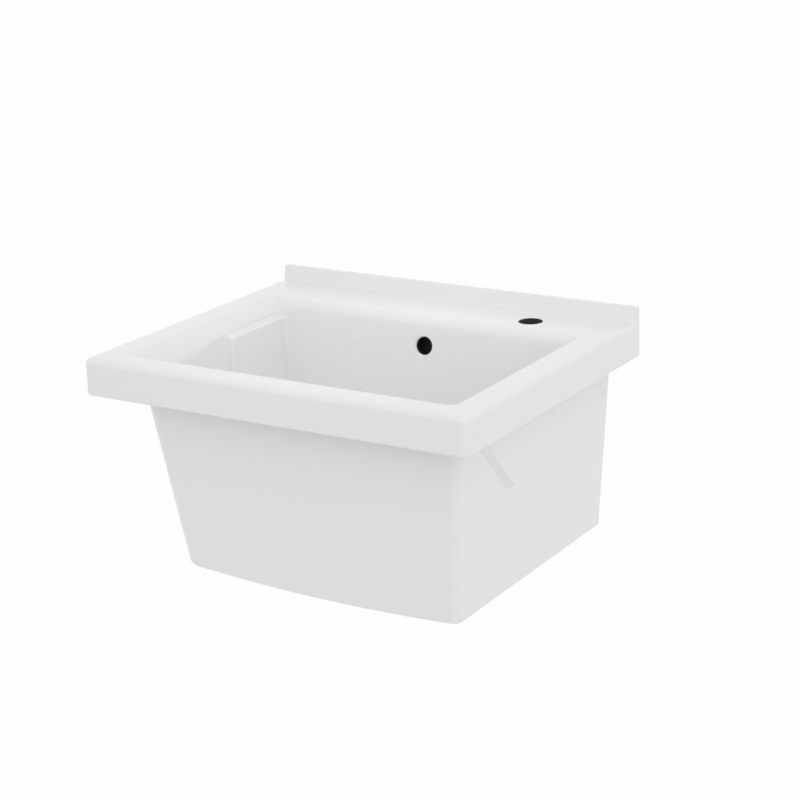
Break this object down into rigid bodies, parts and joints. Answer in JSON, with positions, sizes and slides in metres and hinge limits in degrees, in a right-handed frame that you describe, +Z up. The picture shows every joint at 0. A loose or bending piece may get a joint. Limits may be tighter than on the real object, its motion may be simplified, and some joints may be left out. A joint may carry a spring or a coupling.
{
  "type": "mop service sink",
  "caption": "Wall-hung glazed mop and laundry sink with a deep sloped bowl, raised back edge, tap hole, overflow and a lift-out basket waste.",
  "frame": {"origin": "on the wall plane at the level of the rim's top, in the middle of the sink's width", "axes": "+X to the right as seen from the front, +Y to the wall, +Z up"},
  "size_m": [0.6, 0.49, 0.3835],
  "materials": {
    "fireclay": "white glaze, glossy",
    "rubber": "matte black",
    "steel": "satin",
    "polypropylene": "moulded white",
    "brass": "turned",
    "nylon": "natural nylon",
    "knob": "moulded black"
  },
  "bodies": {
    "sink": {"sink_body": "fireclay", "dish_seal": "rubber", "strainer_dish": "steel", "cup_seal": "rubber", "waste_cup": "polypropylene", "clamp_insert": "brass", "clamp_washer": "nylon", "clamp_screw": "steel"},
    "strainer": {"basket": "steel", "basket_stem": "steel", "stem_catch": "nylon", "seal_plate": "steel", "stopper_seal": "rubber", "basket_knob": "knob"}
  },
  "joints": [
    {"name": "basket_lift", "type": "slide", "parent": "sink", "child": "strainer", "axis": [0, 0, 1], "range_m": [0, 0.012]}
  ]
}
